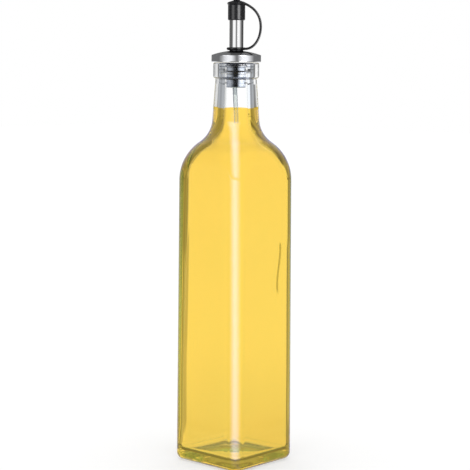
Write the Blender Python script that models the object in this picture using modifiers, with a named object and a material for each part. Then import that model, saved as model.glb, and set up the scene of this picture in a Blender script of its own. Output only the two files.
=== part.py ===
"""Oil dispenser bottle: a square glass bottle of oil with a steel pourer and a tethered rubber cap.

Metres, +Z up. The origin is at the middle of the foot, and the flat sides face X and Y.
"""
import math

import bmesh
import bpy
from mathutils import Vector

MM = 0.001
GAP = 0.3 * MM

# Glass, outside: a rounded square that turns into a round neck
FOOT_HALF = 29.1 * MM
SHOULDER_HALF = 28.35 * MM
CORNER_RADIUS = 8.5 * MM
HEEL_RADIUS = 4.5 * MM
SHOULDER_HEIGHT = 185.6 * MM
FACE_ARC = 20.0 * MM
CORNER_ARC = 30.0 * MM
NECK_ROOT_RADIUS = 15.2 * MM
NECK_TOP_RADIUS = 13.35 * MM
NECK_FILLET = 19.0 * MM
NECK_ROOT_HEIGHT = 226.1 * MM
BEAD_RADIUS = 14.85 * MM
BEAD_BOTTOM = 251.7 * MM
BEAD_ROUNDING = 1.1 * MM
GLASS_HEIGHT = 261.6 * MM
MIDDLE_ROUNDNESS = 0.5

# Glass, foot and inside: the bore is straight in the lip and widens a little below it
WALL = 3.2 * MM
FOOT_FLAT = 3.0 * MM
PUSH_UP = 3.0 * MM
FLOOR_EDGE = 6.0 * MM
FLOOR_MIDDLE = 8.5 * MM
INNER_HEEL_RADIUS = 4.6 * MM
LIP_BORE_RADIUS = 7.5 * MM
LIP_BORE_BOTTOM = 250.5 * MM
BORE_RADIUS = 8.0 * MM
BORE_FILLET = 24.0 * MM
BORE_ROOT_HEIGHT = 230.1 * MM

# Oil and the breather tube that dips into it
OIL_LEVEL = 232.1 * MM
TUBE_RADIUS = 1.45 * MM
TUBE_BORE = 0.95 * MM
TUBE_END = 222.6 * MM
TUBE_TOP = 252.0 * MM
TUBE_END_OFFSET = 0.4 * MM
TUBE_TOP_OFFSET = -1.13 * MM

# Stopper: a hollow core with three thin sealing fins
CORE_RADIUS = 6.3 * MM
CORE_BOTTOM = 245.4 * MM
CORE_ROUNDING = 0.5 * MM
POUR_BORE = 3.9 * MM
FIN_RADIUS = LIP_BORE_RADIUS - GAP
FIN_THICKNESS = 0.7 * MM
FIN_FLARE = 1.6 * MM
FIN_HEIGHTS = (258.6 * MM, 254.9 * MM, 251.2 * MM)

# Collar: a polished disc with a low dome
COLLAR_RADIUS = 16.0 * MM
COLLAR_BOTTOM = GLASS_HEIGHT + GAP
COLLAR_EDGE_TOP = 266.6 * MM
COLLAR_EDGE_ROUNDING = 0.45 * MM
COLLAR_EDGE_START = 70.0
COLLAR_APEX = 269.3 * MM

# Spout tube
SPOUT_RADIUS = 4.5 * MM
SPOUT_TOP = 297.0 * MM

# Rubber cap, with its knob, strap and ring in one moulding
CAP_RADIUS = 5.55 * MM
CAP_BOTTOM = 288.7 * MM
CAP_CHAMFER = 0.7 * MM
RIM_RADIUS = 6.15 * MM
RIM_HEIGHT = 299.4 * MM
RIM_THICKNESS = 0.8 * MM
RIM_SLOPE = 0.9 * MM
CROWN_RADIUS = 4.9 * MM
CROWN_RISE = 0.7 * MM
CAP_TOP = 301.2 * MM
KNOB_RADIUS = 2.25 * MM
KNOB_ROOT_RADIUS = 2.8 * MM
KNOB_ROOT_HEIGHT = 0.5 * MM
KNOB_WAIST = 2.0 * MM
KNOB_ROUNDING = 1.2 * MM
KNOB_EDGE_START = 80.0
KNOB_TOP = 305.0 * MM
RING_RADIUS = 6.3 * MM
RING_BOTTOM = 269.6 * MM
RING_TOP = 271.4 * MM
RING_CHAMFER = 0.4 * MM
STRAP_REACH = 15.65 * MM
STRAP_MIDDLE = 284.6 * MM
STRAP_WIDTH = 2.4 * MM
STRAP_THICKNESS = 1.3 * MM
STRAP_EDGE = 0.39 * MM
STRAP_EDGE_ANGLE = math.radians(60.0)
STRAP_ROOT = 0.6 * MM
STRAP_PULL_AT_CAP = (6.6 * MM, -2.6 * MM)
STRAP_PULL_ABOVE = 7.5 * MM
STRAP_PULL_BELOW = 7.6 * MM
STRAP_PULL_AT_RING = 6.0 * MM
STRAP_ANGLE = math.radians(45.0)

# Fineness of the faceted surfaces
CORNER_STEPS = 5
FACE_STEPS = 7
SHOULDER_STEPS = 17
INNER_SHOULDER_STEPS = 15
UNDERSIDE_SHARES = (0.3, 0.6, 0.85)
FLOOR_SHARES = (0.75, 0.4)
ROUND_STEPS = 40
TUBE_STEPS = 16
SPOUT_STEPS = 32
CAP_STEPS = 32
COLLAR_STEPS = 48
DOME_STEPS = 6
STRAP_STEPS = 12
SHARP_ANGLE = math.radians(40.0)
MERGE_DISTANCE = 0.01 * MM


def clear_scene():
    """Start from an empty file."""
    for old in list(bpy.data.objects):
        bpy.data.objects.remove(old, do_unlink=True)


def new_collection(name):
    """A collection linked to the scene."""
    collection = bpy.data.collections.new(name)
    bpy.context.scene.collection.children.link(collection)
    return collection


def new_material(name, colour, roughness, metallic=0.0, transmission=0.0, ior=1.5):
    """A plain Principled material."""
    material = bpy.data.materials.new(name)
    material.use_nodes = True
    shader = material.node_tree.nodes["Principled BSDF"]
    shader.inputs["Base Color"].default_value = (*colour, 1.0)
    shader.inputs["Roughness"].default_value = roughness
    shader.inputs["Metallic"].default_value = metallic
    shader.inputs["Transmission Weight"].default_value = transmission
    shader.inputs["IOR"].default_value = ior
    return material


def mesh_object(name, mesh, collection, material):
    """Put a mesh in the scene, shaded smooth where it is round."""
    mesh.shade_smooth()
    mesh.set_sharp_from_angle(angle=SHARP_ANGLE)
    piece = bpy.data.objects.new(name, mesh)
    collection.objects.link(piece)
    piece.data.materials.append(material)
    return piece


def turned_object(name, outline, collection, material, steps=ROUND_STEPS, closed=True):
    """Turn an outline of (radius, height) points round Z; it runs down its outer side."""
    edges = [(i, i + 1) for i in range(len(outline) - 1)]
    if closed:
        edges.append((len(outline) - 1, 0))
    mesh = bpy.data.meshes.new(name)
    mesh.from_pydata([(radius, 0.0, height) for radius, height in outline], edges, [])
    piece = bpy.data.objects.new(name, mesh)
    collection.objects.link(piece)
    piece.data.materials.append(material)
    screw = piece.modifiers.new("turn", "SCREW")
    screw.axis = "Z"
    screw.steps = steps
    screw.render_steps = steps
    screw.use_merge_vertices = True
    screw.merge_threshold = MERGE_DISTANCE
    screw.use_smooth_shade = True
    return piece


def hide_cutter(piece):
    """Show a helper as wire only."""
    piece.hide_render = True
    piece.display_type = "WIRE"


def arc(centre, radius, start, end, steps):
    """Points on a circle in the (radius, height) plane, with both ends; angles in degrees."""
    points = []
    for i in range(steps + 1):
        angle = math.radians(start + (end - start) * i / steps)
        points.append((centre[0] + radius * math.cos(angle), centre[1] + radius * math.sin(angle)))
    return points


def ring_angles():
    """Directions round the axis, dense where the rounded square bends."""
    corner = FOOT_HALF - CORNER_RADIUS
    first = math.atan2(corner, FOOT_HALF)
    angles = []
    for quarter in range(4):
        turn = quarter * math.pi / 2.0
        for i in range(FACE_STEPS):
            angles.append(turn - first + 2.0 * first * i / FACE_STEPS)
        for i in range(CORNER_STEPS):
            bend = math.pi / 2.0 * i / CORNER_STEPS
            x = corner + CORNER_RADIUS * math.cos(bend)
            y = corner + CORNER_RADIUS * math.sin(bend)
            angles.append(turn + math.atan2(y, x))
    return angles


def rounded_square(half, radius, angle):
    """Distance from the axis to a square of this half width and corner radius."""
    folded = abs((angle + math.pi / 4.0) % (math.pi / 2.0) - math.pi / 4.0)
    cosine, sine = math.cos(folded), math.sin(folded)
    corner = half - radius
    if half * sine <= corner * cosine:
        return half / cosine
    reach = corner * (cosine + sine)
    return reach + math.sqrt(max(reach ** 2 - 2.0 * corner ** 2 + radius ** 2, 0.0))


def loft(name, sections):
    """Skin (half width, corner radius, height) sections; the first and the last shrink to a point."""
    angles = ring_angles()
    builder = bmesh.new()
    rings = []
    for half, radius, height in sections[1:-1]:
        ring = []
        for angle in angles:
            distance = rounded_square(half, min(radius, half), angle)
            ring.append(builder.verts.new((distance * math.cos(angle), distance * math.sin(angle), height)))
        rings.append(ring)
    count = len(angles)
    for lower, upper in zip(rings, rings[1:]):
        for i in range(count):
            j = (i + 1) % count
            builder.faces.new((lower[i], lower[j], upper[j], upper[i]))
    for ring, section in ((rings[0], sections[0]), (rings[-1], sections[-1])):
        pole = builder.verts.new((0.0, 0.0, section[2]))
        for i in range(count):
            builder.faces.new((ring[i], ring[(i + 1) % count], pole))
    bmesh.ops.recalc_face_normals(builder, faces=builder.faces)
    mesh = bpy.data.meshes.new(name)
    builder.to_mesh(mesh)
    builder.free()
    return mesh


def shoulder(height, half, arc_radius, neck, fillet, root):
    """Half width at a height where a side runs over a shoulder arc and a fillet into the neck."""
    middle = half - arc_radius
    run = neck + fillet - middle
    start = root - math.sqrt((arc_radius + fillet) ** 2 - run ** 2)
    touch = start + (root - start) * arc_radius / (arc_radius + fillet)
    if height <= start:
        return half
    if height <= touch:
        return middle + math.sqrt(arc_radius ** 2 - (height - start) ** 2)
    if height <= root:
        return neck + fillet - math.sqrt(fillet ** 2 - (root - height) ** 2)
    return neck


def corner_reach(half, radius):
    """Distance from the axis to the middle of a rounded corner."""
    return half * math.sqrt(2.0) - radius * (math.sqrt(2.0) - 1.0)


def section_from_reach(half, reach, height):
    """The section with this half width whose corners reach this far."""
    radius = (half * math.sqrt(2.0) - reach) / (math.sqrt(2.0) - 1.0)
    return (half, min(radius, half), height)


def outer_shoulder(height):
    """Outside of the glass from the body to the foot of the neck."""
    half = shoulder(height, SHOULDER_HALF, FACE_ARC, NECK_ROOT_RADIUS, NECK_FILLET, NECK_ROOT_HEIGHT)
    reach = shoulder(height, corner_reach(SHOULDER_HALF, CORNER_RADIUS), CORNER_ARC,
                     NECK_ROOT_RADIUS, NECK_FILLET, NECK_ROOT_HEIGHT)
    return section_from_reach(half, max(reach, half), height)


def inner_shoulder(height, inset=0.0):
    """Inside of the glass over the same stretch; the oil lies inset from it."""
    side = SHOULDER_HALF - WALL
    half = shoulder(height, side, FACE_ARC - WALL, BORE_RADIUS, BORE_FILLET, BORE_ROOT_HEIGHT)
    reach = shoulder(height, corner_reach(side, CORNER_RADIUS - WALL), CORNER_ARC - WALL,
                     BORE_RADIUS, BORE_FILLET, BORE_ROOT_HEIGHT)
    half, radius, height = section_from_reach(half, max(reach, half), height)
    return (half - inset, max(radius - inset, inset), height)


def heights(low, high, steps):
    """Evenly spaced heights with both ends."""
    return [low + (high - low) * i / steps for i in range(steps + 1)]


def section_near_middle(half, share, height):
    """A section of the underside or the floor, rounder the nearer it is to the middle."""
    return (half * share, half * share * (1.0 - MIDDLE_ROUNDNESS * share), height)


def bore_radius(height):
    """Radius of the bore at a height between its foot and the lip."""
    share = (height - BORE_ROOT_HEIGHT) / (LIP_BORE_BOTTOM - BORE_ROOT_HEIGHT)
    return BORE_RADIUS + (LIP_BORE_RADIUS - BORE_RADIUS) * share


def outer_sections():
    """Outside of the glass from the middle of the underside to the lip, and the bore in the lip."""
    foot = FOOT_HALF - HEEL_RADIUS
    hollow = foot - FOOT_FLAT
    sections = [(0.0, 0.0, PUSH_UP)]
    for share in UNDERSIDE_SHARES:
        sections.append(section_near_middle(hollow, share, PUSH_UP * math.cos(share * math.pi / 2.0)))
    sections.append((hollow, CORNER_RADIUS - HEEL_RADIUS, 0.0))
    for x, z in arc((foot, HEEL_RADIUS), HEEL_RADIUS, -90.0, 0.0, 5):
        sections.append((x, CORNER_RADIUS - HEEL_RADIUS + x - foot, z))
    for height in heights(SHOULDER_HEIGHT, NECK_ROOT_HEIGHT, SHOULDER_STEPS):
        sections.append(outer_shoulder(height))
    outer = BEAD_RADIUS - BEAD_ROUNDING
    inner = LIP_BORE_RADIUS + BEAD_ROUNDING
    lip = GLASS_HEIGHT - BEAD_ROUNDING
    outline = [(NECK_TOP_RADIUS, BEAD_BOTTOM)]
    outline += arc((outer, BEAD_BOTTOM + BEAD_ROUNDING), BEAD_ROUNDING, -90.0, 0.0, 3)
    outline += arc((outer, lip), BEAD_ROUNDING, 0.0, 90.0, 3)
    outline += arc((inner, lip), BEAD_ROUNDING, 90.0, 180.0, 3)
    outline.append((LIP_BORE_RADIUS, LIP_BORE_BOTTOM))
    sections += [(x, x, z) for x, z in outline]
    return sections


def inner_sections(inset=0.0):
    """Inside of the glass from the foot of the bore down to the middle of the floor."""
    foot_side = FOOT_HALF - WALL - inset
    side_radius = CORNER_RADIUS - WALL - inset
    heel = INNER_HEEL_RADIUS - inset
    floor = FLOOR_EDGE + inset
    down = heights(BORE_ROOT_HEIGHT, SHOULDER_HEIGHT, INNER_SHOULDER_STEPS)
    sections = [inner_shoulder(height, inset) for height in down]
    for x, z in arc((foot_side - heel, floor + heel), heel, 0.0, -90.0, 4):
        sections.append((x, side_radius + x - foot_side, z))
    flat = foot_side - heel
    rise = FLOOR_MIDDLE - FLOOR_EDGE
    for share in FLOOR_SHARES:
        height = floor + rise * (1.0 + math.cos(share * math.pi)) / 2.0
        sections.append(section_near_middle(flat, share, height))
    sections.append((0.0, 0.0, floor + rise))
    return sections


def build_bottle(collection):
    """The glass: one loft up the outside, over the lip and down the inside."""
    glass = new_material("clear_glass", (0.97, 0.98, 0.98), 0.02, transmission=1.0, ior=1.5)
    mesh = loft("bottle", outer_sections() + inner_sections())
    return mesh_object("bottle", mesh, collection, glass)


def tube_axis():
    """Lower and upper ends of the breather tube, which leans a little in the strap's plane."""
    across = Vector((math.cos(STRAP_ANGLE), math.sin(STRAP_ANGLE), 0.0))
    low = across * TUBE_END_OFFSET + Vector((0.0, 0.0, TUBE_END))
    high = across * TUBE_TOP_OFFSET + Vector((0.0, 0.0, TUBE_TOP))
    return low, high


def place_on_tube_axis(piece):
    """Stand a piece turned round Z on the lower end of the breather tube."""
    low, high = tube_axis()
    lean = Vector((0.0, 0.0, 1.0)).rotation_difference((high - low).normalized())
    piece.rotation_mode = "QUATERNION"
    piece.rotation_quaternion = lean
    piece.location = low


def build_vent_tube(collection):
    """The thin breather tube, open at both ends."""
    plastic = new_material("clear_plastic", (0.82, 0.84, 0.83), 0.12, transmission=0.85, ior=1.46)
    low, high = tube_axis()
    length = (high - low).length
    outline = [(TUBE_BORE, length), (TUBE_RADIUS, length), (TUBE_RADIUS, 0.0), (TUBE_BORE, 0.0)]
    tube = turned_object("vent_tube", outline, collection, plastic, steps=TUBE_STEPS)
    place_on_tube_axis(tube)
    return tube


def build_oil(collection, cutters):
    """The oil, with a flat top and a pocket round the end of the breather tube."""
    oil_look = new_material("olive_oil", (0.95, 0.66, 0.10), 0.03, transmission=0.9, ior=1.47)
    top_radius = bore_radius(OIL_LEVEL) - GAP
    top = [(0.0, 0.0, OIL_LEVEL), (top_radius, top_radius, OIL_LEVEL)]
    mesh = loft("oil", top + inner_sections(GAP))
    oil = mesh_object("oil", mesh, collection, oil_look)
    pocket_radius = TUBE_RADIUS + GAP
    pocket_top = TUBE_TOP - TUBE_END
    outline = [(0.0, pocket_top), (pocket_radius, pocket_top), (pocket_radius, -GAP), (0.0, -GAP)]
    pocket = turned_object("tube_pocket", outline, cutters, oil_look, steps=TUBE_STEPS, closed=False)
    place_on_tube_axis(pocket)
    hide_cutter(pocket)
    cut = oil.modifiers.new("tube_pocket", "BOOLEAN")
    cut.operation = "DIFFERENCE"
    cut.solver = "EXACT"
    cut.object = pocket
    return oil


def build_stopper(collection):
    """The plug in the bore: a hollow core whose fins seal against the glass."""
    plug = new_material("silver_plastic", (0.75, 0.76, 0.80), 0.12, metallic=1.0)
    outline = [(POUR_BORE, GLASS_HEIGHT), (CORE_RADIUS, GLASS_HEIGHT)]
    for fin in FIN_HEIGHTS:
        outline.append((CORE_RADIUS, fin + FIN_FLARE))
        outline.append((FIN_RADIUS, fin + FIN_THICKNESS))
        outline.append((FIN_RADIUS, fin))
        outline.append((CORE_RADIUS, fin))
    core_edge = (CORE_RADIUS - CORE_ROUNDING, CORE_BOTTOM + CORE_ROUNDING)
    outline += arc(core_edge, CORE_ROUNDING, 0.0, -90.0, 3)
    outline.append((POUR_BORE, CORE_BOTTOM))
    return turned_object("stopper", outline, collection, plug)


def build_collar(collection):
    """The polished disc over the lip: a straight edge, a low dome and a hole for the spout."""
    chrome = new_material("polished_steel", (0.78, 0.78, 0.80), 0.06, metallic=1.0)
    hole = SPOUT_RADIUS + GAP
    rise = COLLAR_APEX - COLLAR_EDGE_TOP
    dome_edge = COLLAR_RADIUS - COLLAR_EDGE_ROUNDING
    dome_radius = (dome_edge ** 2 + rise ** 2) / (2.0 * rise)
    outline = []
    for i in range(DOME_STEPS + 1):
        x = hole + (dome_edge - hole) * i / DOME_STEPS
        outline.append((x, COLLAR_APEX - dome_radius + math.sqrt(dome_radius ** 2 - x ** 2)))
    upper_edge = (dome_edge, COLLAR_EDGE_TOP - COLLAR_EDGE_ROUNDING)
    lower_edge = (dome_edge, COLLAR_BOTTOM + COLLAR_EDGE_ROUNDING)
    outline += arc(upper_edge, COLLAR_EDGE_ROUNDING, COLLAR_EDGE_START, 0.0, 3)
    outline += arc(lower_edge, COLLAR_EDGE_ROUNDING, 0.0, -90.0, 2)
    outline.append((hole, COLLAR_BOTTOM))
    return turned_object("collar", outline, collection, chrome, steps=COLLAR_STEPS)


def build_spout(collection):
    """The straight steel tube that pours, open at both ends."""
    steel = new_material("steel_tube", (0.80, 0.80, 0.81), 0.10, metallic=1.0)
    lip = (SPOUT_RADIUS - POUR_BORE) / 2.0
    outline = arc((POUR_BORE + lip, SPOUT_TOP - lip), lip, 180.0, 0.0, 4)
    outline += [(SPOUT_RADIUS, COLLAR_BOTTOM), (POUR_BORE, COLLAR_BOTTOM)]
    return turned_object("spout", outline, collection, steel, steps=SPOUT_STEPS)


def bezier(start, pull_start, pull_end, end, steps):
    """Points on a cubic curve, without its last one."""
    points = []
    for i in range(steps):
        t = i / steps
        u = 1.0 - t
        weights = (u ** 3, 3.0 * u * u * t, 3.0 * u * t * t, t ** 3)
        corners = (start, pull_start, pull_end, end)
        points.append(tuple(sum(w * c[k] for w, c in zip(weights, corners)) for k in range(2)))
    return points


def strap_line():
    """Middle line of the strap, from the cap's rim to the ring, as (reach, height)."""
    rim = (CAP_RADIUS - STRAP_ROOT, RIM_HEIGHT)
    from_rim = (rim[0] + STRAP_PULL_AT_CAP[0], rim[1] + STRAP_PULL_AT_CAP[1])
    side = (STRAP_REACH, STRAP_MIDDLE)
    above = (STRAP_REACH, STRAP_MIDDLE + STRAP_PULL_ABOVE)
    below = (STRAP_REACH, STRAP_MIDDLE - STRAP_PULL_BELOW)
    ring = (RING_RADIUS - STRAP_ROOT, (RING_BOTTOM + RING_TOP) / 2.0)
    to_ring = (ring[0] + STRAP_PULL_AT_RING, ring[1])
    upper = bezier(rim, from_rim, above, side, STRAP_STEPS)
    lower = bezier(side, below, to_ring, ring, STRAP_STEPS)
    return upper + lower + [ring]


def build_strap(cutters, material):
    """The flat strap: a ribbon along its line, thickened, with rounded edges."""
    builder = bmesh.new()
    rows = []
    for reach, height in strap_line():
        rows.append([builder.verts.new((reach, side * STRAP_WIDTH / 2.0, height)) for side in (-1.0, 1.0)])
    for (a, b), (c, d) in zip(rows, rows[1:]):
        builder.faces.new((a, b, d, c))
    mesh = bpy.data.meshes.new("strap")
    builder.to_mesh(mesh)
    builder.free()
    strap = mesh_object("strap", mesh, cutters, material)
    strap.rotation_euler = (0.0, 0.0, STRAP_ANGLE)
    thicken = strap.modifiers.new("thickness", "SOLIDIFY")
    thicken.thickness = STRAP_THICKNESS
    thicken.offset = 0.0
    rounding = strap.modifiers.new("edges", "BEVEL")
    rounding.width = STRAP_EDGE
    rounding.segments = 1
    rounding.limit_method = "ANGLE"
    rounding.angle_limit = STRAP_EDGE_ANGLE
    hide_cutter(strap)
    return strap


def build_dust_cap(collection, cutters):
    """Cap, knob, strap and ring: one piece of soft black rubber."""
    rubber = new_material("black_rubber", (0.012, 0.012, 0.014), 0.35)
    cavity = SPOUT_RADIUS + GAP
    crown = RIM_HEIGHT + RIM_THICKNESS / 2.0
    brim = RIM_HEIGHT - RIM_THICKNESS / 2.0
    outline = [(0.0, KNOB_TOP)]
    knob_edge = (KNOB_RADIUS - KNOB_ROUNDING, KNOB_TOP - KNOB_ROUNDING)
    outline += arc(knob_edge, KNOB_ROUNDING, KNOB_EDGE_START, 0.0, 4)
    outline += [(KNOB_WAIST, CAP_TOP + KNOB_ROOT_HEIGHT), (KNOB_ROOT_RADIUS, CAP_TOP)]
    outline += [(CROWN_RADIUS, crown + CROWN_RISE), (RIM_RADIUS, crown)]
    outline += [(RIM_RADIUS, brim), (CAP_RADIUS, brim - RIM_SLOPE)]
    outline += [(CAP_RADIUS, CAP_BOTTOM + CAP_CHAMFER), (CAP_RADIUS - CAP_CHAMFER, CAP_BOTTOM)]
    outline += [(cavity, CAP_BOTTOM), (cavity, SPOUT_TOP + GAP), (0.0, SPOUT_TOP + GAP)]
    cap = turned_object("dust_cap", outline, collection, rubber, steps=CAP_STEPS, closed=False)
    ring_outline = [(cavity, RING_TOP), (RING_RADIUS - RING_CHAMFER, RING_TOP)]
    ring_outline += [(RING_RADIUS, RING_TOP - RING_CHAMFER), (RING_RADIUS, RING_BOTTOM + RING_CHAMFER)]
    ring_outline += [(RING_RADIUS - RING_CHAMFER, RING_BOTTOM), (cavity, RING_BOTTOM)]
    ring = turned_object("ring", ring_outline, cutters, rubber, steps=CAP_STEPS)
    hide_cutter(ring)
    for helper in (build_strap(cutters, rubber), ring):
        join = cap.modifiers.new(helper.name, "BOOLEAN")
        join.operation = "UNION"
        join.solver = "EXACT"
        join.object = helper
    return cap


def main():
    clear_scene()
    pieces = new_collection("oil_dispenser_bottle")
    cutters = new_collection("cutters")
    build_bottle(pieces)
    build_oil(pieces, cutters)
    build_vent_tube(pieces)
    build_stopper(pieces)
    build_collar(pieces)
    build_spout(pieces)
    build_dust_cap(pieces, cutters)
    bpy.context.view_layer.update()


main()
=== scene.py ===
"""Looks of the oil dispenser bottle: clear glass, golden oil, polished steel and black rubber."""
import math

import bmesh
import bpy
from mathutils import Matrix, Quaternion, Vector, noise


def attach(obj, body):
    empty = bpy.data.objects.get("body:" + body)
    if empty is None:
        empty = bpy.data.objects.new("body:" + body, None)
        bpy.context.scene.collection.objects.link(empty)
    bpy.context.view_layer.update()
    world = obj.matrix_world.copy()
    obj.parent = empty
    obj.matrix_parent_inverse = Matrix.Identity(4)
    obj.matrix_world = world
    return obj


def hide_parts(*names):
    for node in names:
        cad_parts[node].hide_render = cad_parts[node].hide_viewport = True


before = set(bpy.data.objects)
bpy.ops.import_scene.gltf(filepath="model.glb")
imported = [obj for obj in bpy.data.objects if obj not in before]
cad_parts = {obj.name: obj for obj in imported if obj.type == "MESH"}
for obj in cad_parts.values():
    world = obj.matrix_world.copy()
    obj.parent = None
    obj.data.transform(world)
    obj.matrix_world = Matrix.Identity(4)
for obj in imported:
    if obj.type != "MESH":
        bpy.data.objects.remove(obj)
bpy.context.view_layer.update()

MM = 0.001

# Glass, outside
FOOT_HALF = 29.1 * MM
SHOULDER_HALF = 28.35 * MM
CORNER_RADIUS = 8.5 * MM
HEEL_RADIUS = 4.5 * MM
SHOULDER_HEIGHT = 185.6 * MM
FACE_ARC = 20.0 * MM
CORNER_ARC = 30.0 * MM
NECK_ROOT_RADIUS = 15.2 * MM
NECK_TOP_RADIUS = 13.35 * MM
NECK_FILLET = 19.0 * MM
NECK_ROOT_HEIGHT = 226.1 * MM
NECK_LEAN = math.radians(4.03)
BEAD_RADIUS = 14.85 * MM
BEAD_BOTTOM = 251.7 * MM
BEAD_ROUNDING = 1.1 * MM
NECK_ROUNDING = 0.8 * MM
GLASS_HEIGHT = 261.6 * MM

# Glass, foot and inside
WALL = 3.2 * MM
FOOT_FLAT = 3.0 * MM
PUSH_UP = 3.0 * MM
FLOOR_EDGE = 6.0 * MM
FLOOR_MIDDLE = 8.5 * MM
INNER_HEEL_RADIUS = 4.6 * MM
LIP_BORE_RADIUS = 7.5 * MM
LIP_BORE_BOTTOM = 250.5 * MM
BORE_RADIUS = 8.0 * MM
BORE_FILLET = 24.0 * MM
BORE_ROOT_HEIGHT = 228.5 * MM
LEAST_CORNER = 0.4 * MM
MIDDLE_ROUNDNESS = 0.5

# Unevenness of the inside, and the corner where the glass set thickest
WALL_WAVE = 0.22 * MM
WAVE_ACROSS = 16.0 * MM
WAVE_ALONG = 60.0 * MM
THICK_CORNER = math.radians(-135.0)
THICK_CORNER_WIDTH = math.radians(13.0)
THICK_CORNER_PUSH = 2.0 * MM
THICK_CORNER_FOOT = (10.0 * MM, 25.0 * MM)
THICK_CORNER_SWELL = (70.0 * MM, 170.0 * MM)
THICK_CORNER_HEAD = (195.0 * MM, 215.0 * MM)
THICK_CORNER_LEAST = 0.45

# The short wavy seam in the right-hand face
SEAM_LOW = 111.0 * MM
SEAM_HIGH = 147.0 * MM
SEAM_TURN = 142.0 * MM
SEAM_WAVE = 47.0 * MM
SEAM_SWING = 1.35 * MM
SEAM_MIDDLE = 11.05 * MM
SEAM_HALF = 0.8 * MM
SEAM_EDGE = 0.3 * MM
SEAM_FADE_LOW = 5.0 * MM
SEAM_FADE_HIGH = 3.0 * MM
SEAM_COLOUR = (0.36, 0.37, 0.22)

# Oil
OIL_LEVEL = 232.1 * MM
OIL_INTO_WALL = 1.2 * MM
OIL_IN_WALL = (0.98, 0.68, 0.085)

# Tints of light that the wall guides, and the heights between which one gives way to the next; the colours
# are the glass's own tints, while the neck's grey, the bead's edge colour and the brightness by height are
# painted shade
WHITE = (1.0, 1.0, 1.0)
GUIDED_COLOUR = (0.47, 1.0, 0.95)
GUIDED_AT_FOOT = (0.85, 1.0, 1.0)
# Painted grey shade on the light that leaves the neck's wall
NECK_GUIDED_SHADE = (0.40, 0.42, 0.46)
# Painted shade on the bead's top, under the collar, and on its foot
BEAD_EDGE_SHADE = (0.45, 0.47, 0.58)
FOOT_END = (10.0 * MM, 20.0 * MM)
BODY_END = (200.0 * MM, 212.0 * MM)
OIL_END = (231.9 * MM, 232.1 * MM)
NECK_START = (240.0 * MM, 240.2 * MM)
# Heights of the painted shade on the bead's foot and top
BEAD_FOOT = ((250.9 * MM, 251.5 * MM), (252.2 * MM, 252.6 * MM))
BEAD_HEAD = (260.5 * MM, 261.0 * MM)
FROSTED_FROM = (231.3 * MM, 232.4 * MM)
FLARE = (205.0 * MM, 216.0 * MM)

# Pourer
TUBE_RADIUS = 1.45 * MM
TUBE_BORE = 0.95 * MM
# Painted shade for the breather tube's dark outline
TUBE_EDGE_SHADE = (0.30, 0.31, 0.32)
TUBE_END = Vector((0.283, 0.283, 222.6)) * MM
TUBE_TOP = Vector((-0.799, -0.799, 252.0)) * MM
CORE_RADIUS = 6.3 * MM
CORE_BOTTOM = 245.4 * MM
POUR_BORE = 3.9 * MM
FIN_RADIUS = LIP_BORE_RADIUS + 0.1 * MM
FIN_THICKNESS = 0.7 * MM
FIN_FLARE = 1.6 * MM
FIN_HEIGHTS = (258.6 * MM, 254.9 * MM, 251.2 * MM)
FIN_EDGE = 0.1 * MM
CORE_ROUNDING = 0.5 * MM
EDGE_LOOP = 0.1 * MM

# Shadows between the fins and inside the collar, as (from, to, share of light left)
FIN_SHADES = ((259.3 * MM, 260.3 * MM, 0.25), (258.5 * MM, 258.8 * MM, 0.04),
              (255.6 * MM, 256.5 * MM, 0.30), (254.2 * MM, 254.5 * MM, 0.04),
              (251.9 * MM, 252.8 * MM, 0.15), (250.8 * MM, 251.9 * MM, 0.04))
SPOUT_SHADE = ((261.9 * MM, 269.9 * MM, 0.04),)
SHADE_EDGE = 0.15 * MM

# Collar and spout
COLLAR_RADIUS = 16.0 * MM
COLLAR_BOTTOM = 261.9 * MM
COLLAR_EDGE_TOP = 266.6 * MM
COLLAR_ROUNDING = 0.45 * MM
COLLAR_APEX = 269.3 * MM
DOME_INSET = 0.15 * MM
SPOUT_RADIUS = 4.5 * MM
SPOUT_TOP = 297.0 * MM
FIT_GAP = 0.3 * MM

# Rubber cap with its strap and ring
CAP_RADIUS = 5.55 * MM
CAP_BOTTOM = 288.7 * MM
RIM_RADIUS = 6.15 * MM
RIM_HEIGHT = 299.4 * MM
CAP_TOP = 301.2 * MM
KNOB_RADIUS = 2.25 * MM
KNOB_TOP = 305.0 * MM
RING_RADIUS = 6.3 * MM
RING_BOTTOM = 269.6 * MM
RING_TOP = 271.4 * MM
STRAP_REACH = 15.65 * MM
STRAP_MIDDLE = 284.6 * MM
STRAP_WIDTH = 2.4 * MM
STRAP_THICKNESS = 1.6 * MM
STRAP_ANGLE = math.radians(45.0)

# Camera, from the slopes of the base's edges and the level collar in the photo
VIEW_AZIMUTH = math.radians(42.6)
CAMERA_DISTANCE = 0.973
CAMERA_HEIGHT = 0.262
CAMERA_PITCH = math.radians(6.6)
CAMERA_ROLL = math.radians(-0.41)
PHOTO_SIZE = 470.0
FOCAL_PIXELS = 1495.0
SENSOR = 36.0

# Fineness
CORNER_STEPS = 26
FACE_STEPS = 22
TURN_STEPS = 128
BODY_RINGS = 90
FLOOR_RINGS = 12
HEEL_STEPS = 14
SHOULDER_STEPS = 48
NECK_STEPS = 6
BORE_STEPS = 24
ROUND_STEPS = 8
DOME_STEPS = 24
STRAP_STEPS = 40
STRAP_SIDES = 16


def arc(centre, radius, start, end, steps):
    """Points on a circle in the (radius, height) plane, with both ends; angles in degrees."""
    points = []
    for i in range(steps + 1):
        angle = math.radians(start + (end - start) * i / steps)
        points.append((centre[0] + radius * math.cos(angle), centre[1] + radius * math.sin(angle)))
    return points


def heights(low, high, steps):
    """Evenly spaced heights with both ends."""
    return [low + (high - low) * i / steps for i in range(steps + 1)]


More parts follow.
